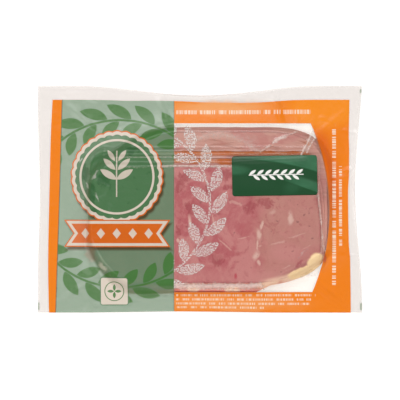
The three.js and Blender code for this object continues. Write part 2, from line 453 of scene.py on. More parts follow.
# The lean of the top slice: rose with paler patches, browner to the right and pale low down.
top_meat, tree, flesh = new_material("cured_lean")
places = in_millimetres(tree)
meat_x, meat_y, _ = split_up(places)
patches = ramp(mottle(places, 15, detail=5, distortion=0.7, stretch=(1, 1.3, 1), turn=0.5), 0.44, 0.6)
wavy = wavered(places, 3.4, 6.0)
fibres = mottle(places, 1.3, detail=2, stretch=(1, 6, 1), turn=-0.45)
ragged = mottle(places, 5, detail=5, roughness=0.62, distortion=0.9)
colour = blended(patches * 0.8, ROSE_LEAN, PALE_LEAN)
wandering = meat_x + mottle(places, 22) * 40 - 20
colour = blended(ramp(wandering, 34, 50) * 0.8, colour, TAN_LEAN)
colour = blended(ramp(meat_y, -42, -54) * 0.55, colour, PALE_LEAN)
for at, half, lean, strength in LEAN_FIELDS:
    colour = blended(ramp(blot(wavy, at, half), 0.0, 0.6) * strength, colour, lean)

# Dark muscle with ragged edges, stray dark and pale flecks, and the grain of the fibres.
dark = ramp(marked(DARK_MARKS) + ragged * 2.0 - 1.12, 0.1, 0.46)
colour = blended(dark * 0.74, colour, DARK_LEAN)
stray = ramp(mottle(places, 8, detail=5, roughness=0.65, distortion=1.2, turn=0.4), 0.57, 0.66)
colour = blended(stray * 0.38, colour, DARK_LEAN)
flecks = ramp(mottle(places, 4.5, detail=4, distortion=1.0, stretch=(1, 1.6, 1), turn=0.7), 0.54, 0.61)
colour = blended(flecks * 0.34, colour, PALE_LEAN)
colour = blended(ramp(fibres, 0.3, 0.7) * 0.2 - 0.04, colour, PALE_LEAN)

# Streaks and veins of fat, and dark specks and pores.
wispy = mottle(places, 2.4, detail=3, stretch=(1, 1.6, 1), distortion=0.5)
fat = marked(FAT_STREAKS) + wispy * 0.6 - 0.3
colour = blended(ramp(fat, 0.08, 0.8) * 0.9, colour, BACON_FAT)
veins = marked(FINE_VEINS) + wispy * 1.2 - 0.6
colour = blended(ramp(veins, 0.15, 0.65) * 0.45, colour, BACON_FAT)
specks = marked([(at, (half, half * 0.7), 0.4) for at, half in SPECKS])
specks = ramp(specks + wispy * 0.8 - 0.4, 0.15, 0.5)
pores = ramp(mottle(places, 2.1, detail=1.5, stretch=(1, 1.4, 1)), 0.71, 0.77)
colour = blended(larger(specks, pores) * 0.6, colour, SPECK_LEAN)
colour = blended(ramp(blot(places, *RED_SPOT), 0.1, 0.6) * 0.7, colour, SPOT_RED)

# The rim is darker, but cream low down, and the corner is fat with rose lean round it.
depth_in = vertex_field(tree, "rim_depth")
near_rim = ramp(depth_in, 2.4, 0.6) * ramp(ragged, 0.35, 0.55)
colour = blended(near_rim * 0.4, colour, DARK_LEAN)
colour = blended(ramp(blot(wavy, *AROUND_WEDGE), 0.15, 0.45) * 0.22, colour, ROSE_LEAN)
low_rim = ramp(depth_in, 4.2, 0.8) * ramp(blot(wavy, *LOW_RIM), 0.0, 0.5)
colour = blended(low_rim * 0.8, colour, RIM_CREAM)
colour = blended(fat_corner(places), colour, CREAM_FAT)
put(colour, flesh.inputs["Base Color"])
flesh.inputs["Roughness"].default_value = 0.45
put(dented(fibres + ragged * 1.5, 0.12), flesh.inputs["Normal"])

# The other slices show only their rims: brown and streaky above, with bands of rind where they
# lie close, and pink with lumps of cream fat below.
DUSKY_LEAN = (0.56, 0.295, 0.246)
BROWN_LEAN = (0.37, 0.150, 0.110)
RIND = (0.46, 0.125, 0.022)
DEEP_RIND = (0.46, 0.105, 0.012)
RIM_PINK = (0.72, 0.27, 0.22)
RIM_RED = (0.88, 0.21, 0.15)
WALL_PAINTED_LIGHT = (0.74, 0.36, 0.29)
RIND_SPOTS = [
    # at, half sizes, turn
    ((-10, 32.0), (11, 2.3), 0.0),
    ((14.5, 32.1), (11, 2.0), 0.0),
    ((44, 32.2), (14, 1.8), 0.0),
    ((66, 32.0), (9, 1.8), 0.0),
    ((-5.5, 26.0), (7, 2.6), 0.0),
    ((17.5, 25.8), (8, 3.2), 0.0),
    ((-30, 31.6), (8, 2.0), 0.0),
]
BROWN_STREAKS = [
    ((14, 38.0), (11, 0.9), 0.05),
    ((21, 36.2), (8, 0.8), -0.12),
    ((11, 40.5), (8, 0.7), -0.16),
    ((27, 35.4), (6, 0.7), 0.0),
    ((52, 36.0), (9, 0.7), 0.05),
    ((76, 44.0), (6, 0.8), -0.3),
    ((71, 39.5), (5, 0.7), -0.2),
]
RIM_BLOBS = [
    ((22.5, -62.6), (8.0, 4.6), 0.0),
    ((-4.6, -61.6), (6.5, 4.8), 0.0),
    ((48, -57.0), (13, 7.5), 0.4),
    ((66, -51.0), (18, 7.0), 0.5),
    ((-52, -58.5), (7.0, 3.6), -0.3),
    ((-66, -40), (4.0, 8.0), 0.4),
]

shingle_meat, tree, flesh = new_material("cured_rim")
places = in_millimetres(tree)
meat_x, meat_y, meat_z = split_up(places)
wavy = wavered(places, 2.4, 5.0)
depth_in = vertex_field(tree, "rim_depth")
layers = mottle(places, 1.6, detail=4, roughness=0.62, stretch=(13, 1, 1), turn=-0.03, distortion=0.6)
patches = mottle(places, 14, detail=4, stretch=(1.8, 1, 1), distortion=0.5)
streaky = ramp(layers, 0.46, 0.66) * ramp(meat_y, 46, 34)
colour = blended(streaky * 0.55, DUSKY_LEAN, BROWN_LEAN)
colour = blended(ramp(patches, 0.47, 0.62) * 0.36, colour, ROSE_LEAN)
rind_band = ramp(depth_in, 3.9, 2.9) * ramp(meat_y, 17, 21) * ramp(meat_y, 41, 38) * ramp(meat_x, 79, 73)
rind_patchy = ramp(mottle(places, 5, detail=4, stretch=(2.5, 1, 1)), 0.28, 0.46)
colour = blended(rind_band * rind_patchy, colour, RIND)
colour = blended(ramp(marked(BROWN_STREAKS), 0.05, 0.7) * 0.7, colour, BROWN_LEAN)
colour = blended(ramp(marked(RIND_SPOTS), 0.05, 0.5), colour, DEEP_RIND)
# Painted light: the right-hand rims, which stand in shade under the film's steep wall, are lifted towards a
# pale pink.
lit_right_rims = ramp(meat_x, 82.5, 86.5) * ramp(meat_y, 6, -8)
colour = blended(lit_right_rims * 0.7, colour, WALL_PAINTED_LIGHT)
colour = blended(ramp(meat_y, -40, -50), colour, RIM_PINK)
colour = blended(ramp(meat_y, -61.5, -63.2) * 0.8, colour, RIM_RED)
colour = blended(ramp(marked(RIM_BLOBS), 0.15, 0.55), colour, RIM_CREAM)
colour = blended(fat_corner(places), colour, CREAM_FAT)

# The lowest slice's underside is plain lean and fat.
lean_below = blended(ramp(patches, 0.42, 0.62), ROSE_LEAN, PALE_LEAN)
fat_below = ramp(depth_in, 7.0, 1.5) * ramp(patches, 0.46, 0.56)
colour_below = blended(fat_below * 0.8, lean_below, BACON_FAT)
colour = blended(ramp(meat_z, 1.0, 0.4), colour, colour_below)
put(colour, flesh.inputs["Base Color"])
flesh.inputs["Roughness"].default_value = 0.5
flesh.inputs["Specular IOR Level"].default_value = 0.3
put(dented(layers, 0.12), flesh.inputs["Normal"])

for number in range(len(SLICES)):
    shows_whole = number == len(SLICES) - 1
    piece = slice_piece(number, *(FINE_GRID if shows_whole else PLAIN_GRID))
    piece.data.materials.append(top_meat if shows_whole else shingle_meat)

# ---- The lower web --------------------------------------------------------------------------
# Plain clear film under the slices, pulled flat by the vacuum, welded to the upper web beyond
# them. Beside the stack it lifts off the table, and its cut edges are drawn in and curl.

PACK_LOW, PACK_HIGH = (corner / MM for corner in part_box("pouch"))
PACK_WIDTH = PACK_HIGH.x - PACK_LOW.x
PACK_HEIGHT = PACK_HIGH.y - PACK_LOW.y
UNDER_FILM = 0.1
SEAM_RISE = 2.0
SEAM_FADE = 9
LIE_HEIGHT = 0.15
UPPER_CURL = {"rise": 3.6, "centre": 0, "half": 84, "depth": 16}
RIGHT_CURL = {"rise": 2.6, "centre": 8, "half": 66, "depth": 15}
RIPPLE = {"rise": 0.8, "length": 47, "depth": 20}
RIPPLE_PHASES = {"lower": 0.6, "left": 2.1, "upper": 3.9}
PLEATS = [
    # from the stack, towards a cut edge, rise, half width
    ((80, 44), (102, 62), 0.5, 4.5),
    ((57, 52), (50, 75), 1.1, 3.4),
    ((-22, 53), (-29, 74), 0.8, 3.6),
    ((-64, 42), (-96, 68), 1.0, 3.8),
    ((-69, -52), (-100, -73), 0.9, 3.8),
    ((72, -54), (99, -74), 1.1, 3.8),
    ((91, -27), (109, -35), 0.8, 3.4),
    ((92, 16), (108, 22), 0.8, 3.4),
]
UPPER_DRAW = {"pull": 6.9, "centre": 0, "half": 84, "depth": 26, "power": 2.6}
RIGHT_DRAW = {"pull": 5.0, "centre": 8, "half": 82, "depth": 22, "power": 3}
LEFT_DRAW = {"pull": 1.3, "centre": 6, "half": 62, "depth": 22, "power": 2}
LOWER_DRAW = {"pull": 0.8, "centre": -12, "half": 74, "depth": 18, "power": 2}


def bell(t, centre, half):
    """1 at a centre, falling smoothly to 0 at half a width from it."""
    return 0.5 + 0.5 * np.cos(np.pi * np.minimum(1, np.abs(t - centre) / half))


def along_line(x, y, start, end):
    """Where places lie along a line, as a share of it, and how far across, in mm."""
    run = np.subtract(end, start)
    length = math.hypot(*run)
    along = ((x - start[0]) * run[0] + (y - start[1]) * run[1]) / length**2
    across = ((x - start[0]) * run[1] - (y - start[1]) * run[0]) / length
    return along, across


def edge_near(distance, depth, power=2):
    """1 at an edge, falling to 0 at a depth from it."""
    return np.clip(1 - distance / depth, 0, 1) ** power


def border_height(u, v, x, y):
    """Height of the welded border's underside, in mm."""
    from_upper, from_lower = PACK_HEIGHT / 2 - v, PACK_HEIGHT / 2 + v
    from_right, from_left = PACK_WIDTH / 2 - u, PACK_WIDTH / 2 + u
    outside = np.maximum(outside_slice(x, y, SLICES[0]), 0)
    height = LIE_HEIGHT + SEAM_RISE * np.exp(-((outside / SEAM_FADE) ** 2))
    for curl, t, distance in ((UPPER_CURL, u, from_upper), (RIGHT_CURL, v, from_right)):
        height += curl["rise"] * bell(t, curl["centre"], curl["half"]) * edge_near(distance, curl["depth"])
    for edge, t, distance in (("lower", u, from_lower), ("left", v, from_left), ("upper", u, from_upper)):
        wave = 0.5 + 0.5 * np.sin(2 * np.pi * t / RIPPLE["length"] + RIPPLE_PHASES[edge])
        height += RIPPLE["rise"] * wave * edge_near(distance, RIPPLE["depth"])
    for start, end, rise, half in PLEATS:
        along, across = along_line(x, y, start, end)
        height += rise * bell(along, 0.5, 0.75) * bell(across, 0, half)
    return height


def film_places(u, v):
    """Where points of the flat film come to lie: x, y, how much they lie beside the stack, and
    the height of the border's underside there."""

    def drawn(t, distance, draw):
        near = edge_near(distance, draw["depth"], draw["power"])
        return draw["pull"] * bell(t, draw["centre"], draw["half"]) * near

    x = u - drawn(v, PACK_WIDTH / 2 - u, RIGHT_DRAW) + drawn(v, PACK_WIDTH / 2 + u, LEFT_DRAW)
    y = v - drawn(u, PACK_HEIGHT / 2 - v, UPPER_DRAW) + drawn(u, PACK_HEIGHT / 2 + v, LOWER_DRAW)
    beside = beside_slice(outside_slice(x, y, SLICES[0]))
    return x, y, beside, (1 - beside) * border_height(u, v, x, y)


def sheet_grid(uv_name, width, height, cell):
    """A flat sheet as a grid with its own UV map, and its places in mm from its middle."""
    mesh = bmesh.new()
    mesh.loops.layers.uv.new(uv_name)
    bmesh.ops.create_grid(mesh, x_segments=round(width / cell), y_segments=round(height / cell),
                          size=0.5, calc_uvs=True)
    return mesh, *(places_of(mesh)[:, :2] * (width, height)).T


def sheet_piece(name, mesh, thick, skins):
    """Ends a sheet: its thickness, and the materials of its outer face and of its back and edges."""
    piece = smooth_object(name, mesh)
    for skin in skins:
        piece.data.materials.append(skin)
    wall = piece.modifiers.new("sheet_wall", "SOLIDIFY")
    wall.thickness = thick * MM
    wall.offset = -1
    wall.material_offset = 1
    wall.material_offset_rim = 1
    return piece


FILM_TINT = (0.995, 0.981, 0.968)
FILM_ROUGHNESS = 0.23


def glossy_film(tree, relief=None):
    """Clear film's shader: see-through, with reflections that grow where it slants."""
    dents = {"Normal": relief} if relief else {}
    see_through = added(tree, "ShaderNodeBsdfTransparent", {"Color": FILM_TINT})
    shine = added(tree, "ShaderNodeBsdfGlossy", {"Roughness": FILM_ROUGHNESS, **dents})
    slant = Field(added(tree, "ShaderNodeLayerWeight", dents).outputs["Facing"])
    mirrored = reckoned("POWER", slant, 4) * 0.9 + 0.04
    film = {"Fac": mirrored, 1: see_through.outputs[0], 2: shine.outputs[0]}
    return added(tree, "ShaderNodeMixShader", film).outputs[0]


def give_surface(tree, shader):
    """Makes a shader the surface of its material."""
    put(shader, tree.nodes["Material Output"].inputs["Surface"])


outer_clear, tree, plain = new_material("clear_film_outside")
tree.nodes.remove(plain)
give_surface(tree, glossy_film(tree))
inner_clear, tree, plain = new_material("clear_film_inside")
tree.nodes.remove(plain)
give_surface(tree, added(tree, "ShaderNodeBsdfTransparent", {}).outputs[0])

LOWER_WEB_THICK = 0.06
WELD_MIDDLE = 0.16

mesh, u, v = sheet_grid("flat_film", PACK_WIDTH, PACK_HEIGHT, cell=1.8)
x, y, beside, under = film_places(u, v)
lift = under + (1 - beside) * (WELD_MIDDLE - LOWER_WEB_THICK)
for vert, place in zip(mesh.verts, zip(x, y, lift)):
    vert.co = place
bmesh.ops.reverse_faces(mesh, faces=mesh.faces)
lower_web = sheet_piece("lower_web", mesh, LOWER_WEB_THICK, (outer_clear, inner_clear))
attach(lower_web, "root")

# ---- The upper web --------------------------------------------------------------------------
# Printed film shrunk over the slices, with a clear window. Its ink is laid as plain fields and
# generic figures: an orange frame, a sage panel, a leaf garland, a seal and a ribbon.

UPPER_WEB_THICK = 0.08
WELD_GAP = 0.06
CRUMPLE_RISE, GATHER_RISE = 0.12, 0.45
GATHER_X, GATHER_REACH = -74, 14
CREASES = [
    # points in mm, rise, half width, whitening (partly painted highlight)
    ([(41.5, 32.5), (45.7, 35.6), (49.9, 37.8), (51.5, 41.1), (59, 43.6), (67.6, 47)], 0.45, 1.0, 0.50),
    ([(50.2, 39.0), (54.6, 41.8), (59.0, 43.4)], 0.55, 1.7, 0.70),
    ([(69.8, 30.5), (72.2, 35.6), (75.0, 40.6), (77.0, 45.0), (78.4, 48.0)], 0.55, 1.0, 0.75),
    ([(73.4, 31.5), (75.6, 36.2), (77.8, 39.8), (79.4, 41.8)], 0.5, 1.0, 0.6),
    ([(72.2, 33.0), (75.8, 39.0), (79.0, 43.4)], 0.3, 3.2, 0.34),
    ([(-4, 40.5), (4.2, 44), (14.6, 44.6), (23, 42.8), (30, 40.5), (36, 36.2), (40.5, 33.5)], 0.3, 4.0, 0.41),
    ([(26, 41.6), (31, 39.0), (35.5, 36.0)], 0.2, 3.6, 0.28),
    ([(24, 41.5), (31, 42.0), (37, 41.0)], 0.0, 8.0, 0.28),
    ([(80.6, 28.8), (81.9, 26.0), (82.3, 14.0), (81.6, 3.4), (80.0, 1.6)], 0.3, 0.9, 0.45),
    ([(-58, 28.9), (-20, 29.3), (22, 29.0)], 0.3, 1.0, 0.35),
    ([(-58, 22.0), (-40, 22.4), (-22, 22.8)], 0.3, 1.3, 0.28),
    ([(-26, 22.7), (-10, 22.9), (24, 22.6)], 0.3, 1.5, 0.55),
    ([(81.6, 2.0), (82.4, -4.5), (83.9, -17.9), (85.0, -31.8), (86.4, -36)], 0.2, 1.0, 0.55),
    ([(69.6, -37.4), (72.0, -35.6), (74.6, -34.0)], 0.15, 0.8, 0.38),
    ([(67.6, -40.6), (70.0, -38.6), (72.6, -36.6)], 0.15, 0.8, 0.34),
    ([(-16, -59.8), (12, -60.0), (42, -59.6)], 0.06, 2.9, 0.72),
    ([(-14, -62.5), (44, -62.3)], 0.0, 1.5, 0.42),
    ([(70, -53.6), (80, -52.2)], 0.3, 1.6, 0.4),
    ([(52, -61.5), (66, -60.5), (72, -60.5)], 0.3, 1.0, 0.2),
    ([(-79, 30), (-82, 15), (-80, -2), (-76, -20)], 0.5, 2.2, 0.0),
    ([(-72, 44), (-66, 33), (-69, 24)], 0.4, 1.6, 0.0),
    ([(-70, 12), (-63, 8), (-66, -1), (-60, -9)], 0.45, 2.0, 0.0),
    ([(84.0, 57.0), (89, 55.5), (94, 51.5)], 0.5, 1.5, 0.0),
    ([(100, 48), (104, 46.5), (110, 46)], 0.5, 1.6, 0.1),
    ([(48, 71), (54, 67), (58, 62)], 0.5, 1.7, 0.0),
]


def creases(x, y):
    """The raised folds of spare film: their height, and how far they whiten it; the whitening is partly
    painted highlight and glare on folds and slopes.
    """
    height = np.zeros_like(x)
    white_and_highlight = np.zeros_like(x)
    uneven = np.array([noise.noise(Vector((px * 0.35, py * 0.35, 9.0))) for px, py in zip(x, y)])
    for points, rise, half, whiten_and_highlight in CREASES:
        nearest = np.full_like(x, half * 2)
        for start, end in zip(points, points[1:]):
            along, across = along_line(x, y, start, end)
            length = math.dist(start, end)
            beyond = np.maximum(np.maximum(-along, along - 1), 0) * length
            nearest = np.minimum(nearest, np.hypot(beyond, across))
        ridge = np.clip(1 - nearest / (half * (1 + 0.7 * uneven)), 0, 1)
        height = np.maximum(height, rise * ridge)
        white_and_highlight = np.maximum(white_and_highlight, whiten_and_highlight * ridge**0.6)
    return height, white_and_highlight


mesh, u, v = sheet_grid("flat_film", PACK_WIDTH, PACK_HEIGHT, cell=0.9)
x, y, beside, under = film_places(u, v)
fold, whitening_and_highlight = creases(x, y)
step = stack_height(x, y, SLICES)
lift = under + (1 - beside) * (WELD_MIDDLE + WELD_GAP + UPPER_WEB_THICK) + beside * UNDER_FILM + step + fold
whitening_and_highlight_layer = mesh.verts.layers.float.new("whitening_and_highlight")
for vert, at_x, at_y, at_z, pale in zip(mesh.verts, x, y, lift, whitening_and_highlight):
    crumple = noise.fractal(Vector((at_x * 0.11, at_y * 0.16, 5.0)), 1.0, 2.0, 3)
    gathered = CRUMPLE_RISE + GATHER_RISE * math.exp(-(((at_x - GATHER_X) / GATHER_REACH) ** 2))
    vert.co = (at_x, at_y, at_z + gathered * abs(crumple))
    vert[whitening_and_highlight_layer] = pale


def flat_places(tree, uv_name, width, height):
    """Places on a flat sheet, in mm from its middle, by the sheet's own UV map."""
    flat = added(tree, "ShaderNodeUVMap", {}, uv_map=uv_name).outputs[0]
    inputs = {0: flat, 1: (width, height, 0), 2: (-width / 2, -height / 2, 0)}
    return added(tree, "ShaderNodeVectorMath", inputs, operation="MULTIPLY_ADD").outputs[0]


inked, tree, print_body = new_material("printed_film")
flat_mm = flat_places(tree, "flat_film", PACK_WIDTH, PACK_HEIGHT)
flat_x, flat_y, _ = split_up(flat_mm)

EDGE_SOFT = 0.22


def within(distance, soft=EDGE_SOFT):
    """1 inside a shape, from the distance to its outline in mm, with a crisp ink edge."""
    return reckoned("MULTIPLY_ADD", distance, -1 / soft, 0.5, clamp=True)


def length_of(a, b):
    """The distance that two coordinates make."""
    return reckoned("SQRT", a * a + b * b)


def measured_from(at):
    """The flat sheet's coordinates, measured from a point on it."""
    return flat_x - at[0], flat_y - at[1]


def leaned(along, across, angle):
    """Coordinates along and across a direction at an angle to the given ones."""
    cos, sin = math.cos(angle), math.sin(angle)
    return along * cos + across * sin, across * cos - along * sin


def repeated(along, pitch, shift):
    """A coordinate that starts again at every pitch, measured from the pitch's middle."""
    return (reckoned("FRACT", along / pitch + shift) - 0.5) * pitch


def oblong(along, across, half_along, half_across, corner=0.0):
    """Distance from a rectangle with rounded corners."""
    past_along = abs(along) - (half_along - corner)
    past_across = abs(across) - (half_across - corner)
    outside = length_of(larger(past_along, 0), larger(past_across, 0))
    inside = reckoned("MINIMUM", larger(past_along, past_across), 0)
    return outside + inside - corner


def leaf(along, across, half_length, half_width):
    """Distance from a leaf between two arcs, pointed at both ends."""
    radius = (half_length**2 + half_width**2) / (2 * half_width)
    return length_of(along, abs(across) + (radius - half_width)) - radius


# Inks: a colour as light shares, and how much of what is behind it the ink hides.
BORDER_HAZE = ((0.76, 0.71, 0.71), 0.32)
CLEAR_WINDOW = ((0.86, 0.76, 0.66), 0.0)
ORANGE_INK = ((0.84, 0.204, 0.001), 0.985)
PALE_ORANGE_INK = ((0.90, 0.270, 0.006), 0.98)
SHADED_ORANGE_INK = ((0.70, 0.108, 0.001), 0.98)
TRAP_BROWN_INK = ((0.52, 0.115, 0.006), 0.97)
SAGE_INK = ((0.142, 0.288, 0.165), 0.67)
DEEP_GREEN_INK = ((0.058, 0.185, 0.042), 0.90)
SEAL_GREEN_INK = ((0.066, 0.185, 0.072), 0.86)
CREAM_INK = ((0.70, 0.60, 0.50), 0.90)
RIBBON_INK = ((0.66, 0.125, 0.004), 0.92)
OLIVE_INK = ((0.070, 0.045, 0.012), 0.86)
WHITE_INK = ((0.80, 0.74, 0.70), 0.80)

ink_colour, ink_cover = BORDER_HAZE


def lay_ink(mask, ink, strength=1.0):
    """Prints an ink over what is printed so far."""
    global ink_colour, ink_cover
    share = mask * strength
    ink_colour = blended(share, ink_colour, ink[0])
    ink_cover = added(tree, "ShaderNodeMix", {"Factor": share, "A": ink_cover, "B": ink[1]}).outputs["Result"]


# The frame and its fields. The print's left-hand edges lean, as the film was stretched.
PRINT_TOP, PRINT_RIGHT = 70.3, 103.9
PRINT_LEFT, PRINT_LEFT_LEAN, PRINT_LEFT_BOW = -105.2, 0.020, 0.00031
STRIP_RIGHT, STRIP_RIGHT_LEAN = -97.75, 0.0305
PANEL_RIGHT = -18.0
WINDOW_TOP, WINDOW_BOTTOM = 52.6, -64.4
WINDOW_ARC_AT, WINDOW_ARC_RADIUS = (-57.1, -7.3), 146.6
ARC_LINE_HALF, STRIP_LINE_HALF, PANEL_LINE_HALF = 0.5, 0.3, 0.35

# The film's uneven pull shifts the print's edges by up to two millimetres.
top_lift = ramp(flat_x, -55, -22) * ramp(flat_x, 14, -16)
top_sag = ramp(flat_x, 8, 34) * ramp(flat_x, 66, 40)
top_moved = top_sag * 0.9 - top_lift * 1.35 + 1.25
below_top = within(flat_y + top_moved - PRINT_TOP)
left_line = flat_y * PRINT_LEFT_LEAN + PRINT_LEFT + flat_y * flat_y * PRINT_LEFT_BOW
right_of_left = within(left_line - flat_x)
right_moved = larger(ramp(flat_y, -30, -42), ramp(flat_y, 48, 30) * ramp(flat_y, 4, 18))
left_of_right = within(flat_x - (right_moved * 0.75 + PRINT_RIGHT))
printed = below_top * right_of_left * left_of_right
strip_edge = flat_y * STRIP_RIGHT_LEAN + STRIP_RIGHT - flat_x
panel = within(strip_edge) * below_top * within(flat_x - PANEL_RIGHT)
past_arc = length_of(*measured_from(WINDOW_ARC_AT)) - WINDOW_ARC_RADIUS
window = within(past_arc) * within(PANEL_RIGHT - flat_x)
window = window * within(flat_y - WINDOW_TOP) * within(WINDOW_BOTTOM - flat_y)
arc_height = ramp(flat_y, -24, 5) * ramp(flat_y, 52, 40)
# Painted shade: the orange is deeper beside the window's arc, where the film falls from the slices'
# right-hand edges.
arc_shade = ramp(past_arc, 12, 3) * ramp(flat_x, 60, 66)
lay_ink(printed, ORANGE_INK)
lay_ink(printed * arc_shade * arc_height, SHADED_ORANGE_INK, 0.75)
lay_ink(printed * ramp(blot(flat_mm, (86, 63), (32, 17)), 0.0, 0.5), PALE_ORANGE_INK, 0.8)
lay_ink(window, CLEAR_WINDOW)
lay_ink(within(abs(past_arc) - ARC_LINE_HALF) * arc_height, TRAP_BROWN_INK, 0.9)
lay_ink(panel, SAGE_INK)
lay_ink(within(abs(strip_edge) - STRIP_LINE_HALF) * below_top, OLIVE_INK, 0.8)
lay_ink(within(abs(flat_x - PANEL_RIGHT) - PANEL_LINE_HALF) * below_top, OLIVE_INK, 0.45)

# Painted sheen: paler patches on the orange ink where the film's gloss catches the light. A dark red spot is
# a painted shadow of the film beside the stack's lower right-hand end.
SHEEN_INK = ((0.86, 0.38, 0.13), 0.95)
SHEEN_PATCHES = [((14, 65), (52, 8.5), 0.8), ((22, -73), (70, 9), 0.5)]
FILM_SHADOW_INK = ((0.45, 0.05, 0.01), 0.9)
FILM_SHADOW_SPOT = ((86.3, -41.0), (1.7, 4.2))
around_window = (1 - panel) * (1 - window) * right_of_left
for at, half, strength in SHEEN_PATCHES:
    sheen_patch = ramp(blot(wavered(flat_mm, 8, 12), at, half), 0.0, 0.8)
    lay_ink(sheen_patch * around_window, SHEEN_INK, strength)
lay_ink(ramp(blot(flat_mm, *FILM_SHADOW_SPOT), 0.0, 0.6), FILM_SHADOW_INK, 0.75)

# The garland: a stem bent round an oval, with leaves leaning away on both its sides. It is green
# on the panel, and a white stipple where it crosses the window.
GARLAND_AT, GARLAND_RADIUS, GARLAND_SQUASH = (-55.5, -3.0), 60.0, (1.04, 0.965)
GARLAND_LEAVES, GARLAND_LEAF, LEAF_LEAN, LEAF_OUT = 24, (9.0, 3.8), 0.62, 6.4
STEM_HALF = 0.8

garland_x, garland_y = measured_from(GARLAND_AT)
oval_x, oval_y = garland_x / GARLAND_SQUASH[0], garland_y / GARLAND_SQUASH[1]
from_stem = length_of(oval_x, oval_y) - GARLAND_RADIUS
along_stem = reckoned("ARCTAN2", oval_y, oval_x) * GARLAND_RADIUS
leaf_pitch = 2 * math.pi * GARLAND_RADIUS / GARLAND_LEAVES
leaf_x = repeated(along_stem, leaf_pitch, reckoned("GREATER_THAN", from_stem, 0) * 0.5)
leaf_places = leaned(leaf_x, abs(from_stem) - LEAF_OUT, LEAF_LEAN)
garland = larger(within(leaf(*leaf_places, *GARLAND_LEAF)), within(abs(from_stem) - STEM_HALF))
stipple = ramp(mottle(flat_mm, 0.85, detail=0.0), 0.485, 0.525)
lay_ink(garland * panel, DEEP_GREEN_INK)
lay_ink(garland * window * stipple, WHITE_INK)

# The seal and its ribbon: a scalloped green seal with cream rings and a sprig, a soft printed
# shadow, and an orange ribbon with forked ends and a row of cream lozenges.
SEAL_AT, SEAL_RADIUS, SCALLOPS, SCALLOP_DEPTH = (-57.5, 15.6), 31.6, 30, 0.9
SEAL_RIM, SEAL_DISC_INSET = 0.9, 3.2
SEAL_RING_RADIUS, SEAL_RING_HALF = 25.4, 0.75
RIBBON_AT, RIBBON_HALF, RIBBON_NOTCH = (-57.4, -23.6), (37.0, 9.4), 6.5
RIBBON_EDGE, RIBBON_BORDER = 0.8, 2.7
SHADOW_SHIFT, SHADOW_SOFT = (1.2, -2.2), 1.7
LOZENGE_PITCH, LOZENGES, LOZENGE_HALF = 11.0, 5, 2.9


def seal_distance(at):
    """Distance from a round seal with a scalloped edge."""
    seal_x, seal_y = measured_from(at)
    scallop = abs(reckoned("SINE", reckoned("ARCTAN2", seal_y, seal_x) * (SCALLOPS / 2)))
    return length_of(seal_x, seal_y) - scallop * SCALLOP_DEPTH - SEAL_RADIUS


def ribbon_distance(at):
    """Distance from a straight ribbon with forked ends."""
    ribbon_x, ribbon_y = measured_from(at)
    fork = abs(ribbon_y) * (RIBBON_NOTCH / RIBBON_HALF[1]) + (RIBBON_HALF[0] - RIBBON_NOTCH)
    return larger((abs(ribbon_x) - fork) * 0.82, abs(ribbon_y) - RIBBON_HALF[1])


def shadow_of(distance, at):
    """The soft mask of a figure, moved aside."""
    return within(distance(np.add(at, SHADOW_SHIFT)), SHADOW_SOFT)


seal = seal_distance(SEAL_AT)
on_disc = within(seal + SEAL_DISC_INSET)
shadow = larger(shadow_of(seal_distance, SEAL_AT), shadow_of(ribbon_distance, RIBBON_AT))
lay_ink(shadow * panel, OLIVE_INK, 0.95)
lay_ink(within(seal), RIBBON_INK)
lay_ink(within(seal + SEAL_RIM), CREAM_INK)
lay_ink(on_disc, SEAL_GREEN_INK)

# Crumpled film over the stack's left-hand end: painted shade darkens the seal's green in its crumples, and
# its folds glint with painted highlights.
CRUMPLE_SHADE_INK = ((0.012, 0.085, 0.018), 0.94)
CRUMPLES = [
    # at, half sizes, turn
    ((-76, 3.5), (5.5, 11), -0.15),
    ((-79.5, 19), (4.5, 9), 0.2),
    ((-66, 14), (7, 8), 0.5),
    ((-46, 34), (8, 3.6), 0.35),
    ((-74, -9), (4, 6), -0.5),
]
GLINTS = [
    ((-78.5, 10), (1.2, 3.4), 0.3),
    ((-72.5, 16.5), (1.3, 5.6), -0.7),
    ((-70.5, 1.5), (1.2, 4.8), 0.4),
    ((-82.5, 27), (3.0, 1.2), 0.9),
]
wavy = wavered(flat_mm, 5.0, 4.0)
uneven = mottle(flat_mm, 4.2, detail=3) * 1.6 - 0.9
crumple_shade = ramp(marked(CRUMPLES) + uneven, 0.05, 0.45)
lay_ink(crumple_shade * on_disc, CRUMPLE_SHADE_INK, 0.62)

ribbon = ribbon_distance(RIBBON_AT)
ribbon_x, ribbon_y = measured_from(RIBBON_AT)
lozenge = abs(repeated(ribbon_x, LOZENGE_PITCH, 0.5)) + abs(ribbon_y) * 0.8 - LOZENGE_HALF
in_row = within(abs(ribbon_x) - LOZENGE_PITCH * LOZENGES / 2)
lay_ink(within(ribbon), RIBBON_INK)
lay_ink(within(ribbon + RIBBON_EDGE), CREAM_INK)
lay_ink(within(ribbon + RIBBON_BORDER), RIBBON_INK)
lay_ink(within(lozenge) * in_row, CREAM_INK, 0.95)

seal_x, seal_y = measured_from(SEAL_AT)
lay_ink(within(abs(length_of(seal_x, seal_y) - SEAL_RING_RADIUS) - SEAL_RING_HALF), CREAM_INK)

STALK_HALF, STALK_MIDDLE, STALK_REACH = 0.45, 2, 16
SPRIG_LEAVES = [
    # at, half length and half width, turn; the other side's leaf is the mirror image
    ((5.6, 1.5), (6.6, 2.3), 0.55),
    ((5.0, 8.6), (5.8, 2.0), 0.75),
    ((3.8, 14.6), (4.6, 1.6), 0.95),
]
mirrored_x = abs(seal_x)
sprig = within(larger(mirrored_x - STALK_HALF, abs(seal_y - STALK_MIDDLE) - STALK_REACH))
for at, size, turn in SPRIG_LEAVES:
    sprig = larger(sprig, within(leaf(*leaned(mirrored_x - at[0], seal_y - at[1], turn), *size)))
lay_ink(sprig, CREAM_INK, 0.85)
lay_ink(ramp(marked(GLINTS), 0.1, 0.8) * on_disc, WHITE_INK, 0.45)
